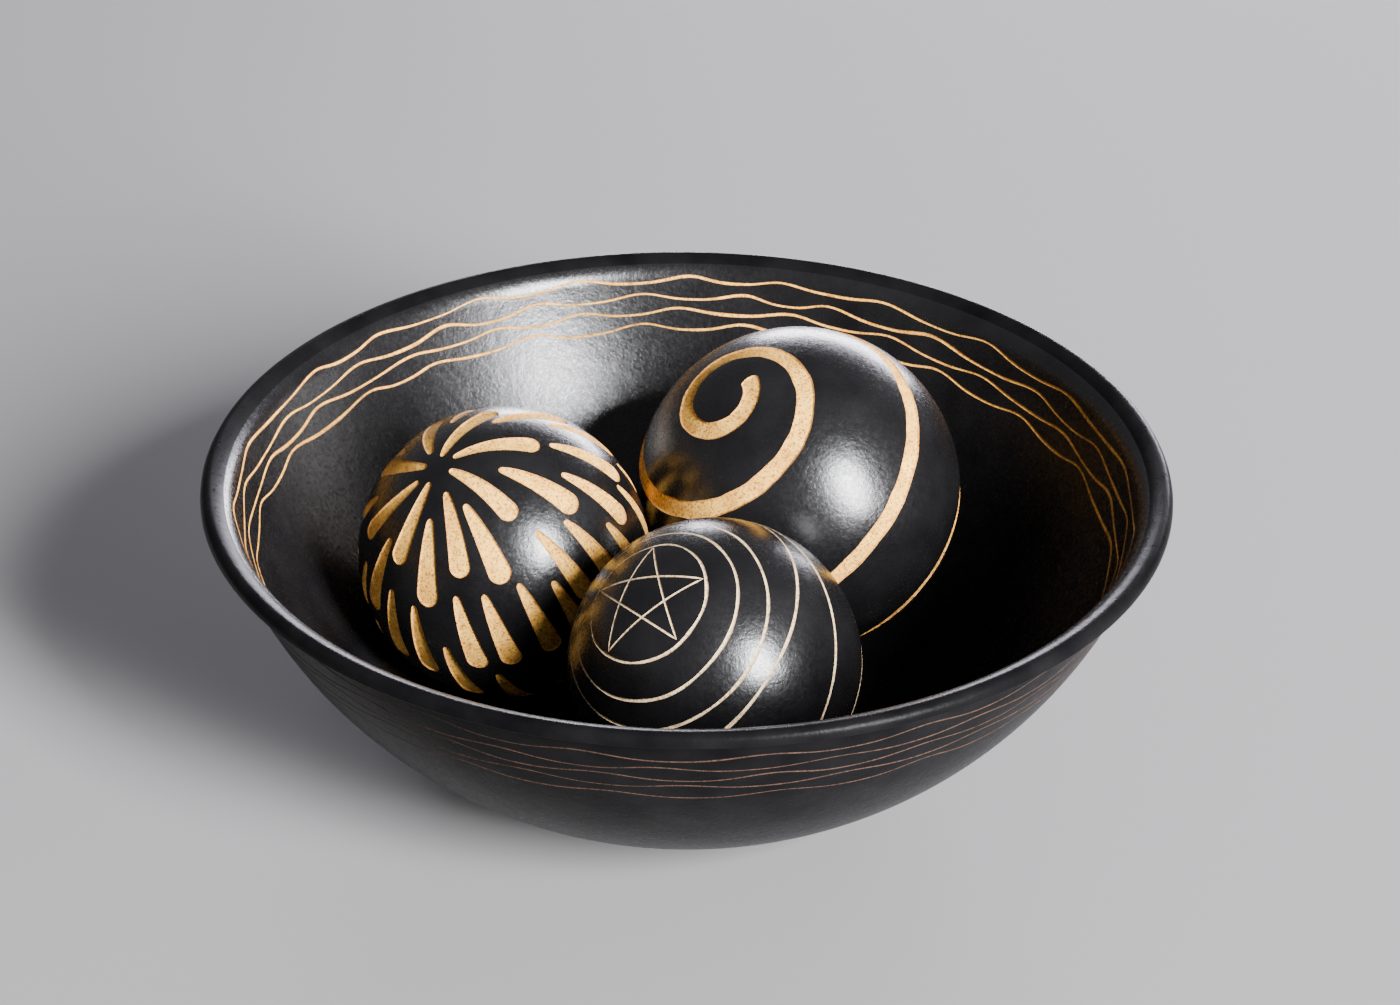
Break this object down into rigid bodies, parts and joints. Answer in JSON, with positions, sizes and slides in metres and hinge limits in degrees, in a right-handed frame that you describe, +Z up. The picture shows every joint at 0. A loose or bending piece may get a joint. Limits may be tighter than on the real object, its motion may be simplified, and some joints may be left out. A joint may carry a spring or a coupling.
{
  "type": "decorative bowl with balls",
  "caption": "Wide black ceramic bowl with an everted lip and wavy cut lines, holding loose hollow balls carved with a spiral, petals and a star.",
  "frame": {"origin": "on the bowl's axis, in the plane that the felt pads stand on", "axes": "+Z up out of the bowl, +X to the right and +Y away from someone who faces its decorated front"},
  "size_m": [0.33, 0.33, 0.13],
  "materials": {
    "black_slip": "satin, burnished black slip",
    "bare_clay": "matt speckled buff clay, where the slip is cut away",
    "felt": "dense black felt"
  },
  "bodies": {
    "bowl": {"bowl": "black_slip", "felt_pad_1": "felt", "felt_pad_2": "felt", "felt_pad_3": "felt", "felt_pad_4": "felt"},
    "spiral_ball": {"spiral_ball": "black_slip"},
    "petal_ball": {"petal_ball": "black_slip"},
    "star_ball": {"star_ball": "black_slip"}
  },
  "joints": [
    {"name": "spiral_lift", "type": "slide", "parent": "bowl", "child": "spiral_ball", "axis": [0.1684, 0.1965, 0.9659], "range_m": [0, 0.15]},
    {"name": "petal_lift", "type": "slide", "parent": "bowl", "child": "petal_ball", "axis": [-0.2547, 0.0458, 0.9659], "range_m": [0, 0.15]},
    {"name": "star_lift", "type": "slide", "parent": "bowl", "child": "star_ball", "axis": [0.0445, -0.255, 0.9659], "range_m": [0, 0.15]}
  ]
}
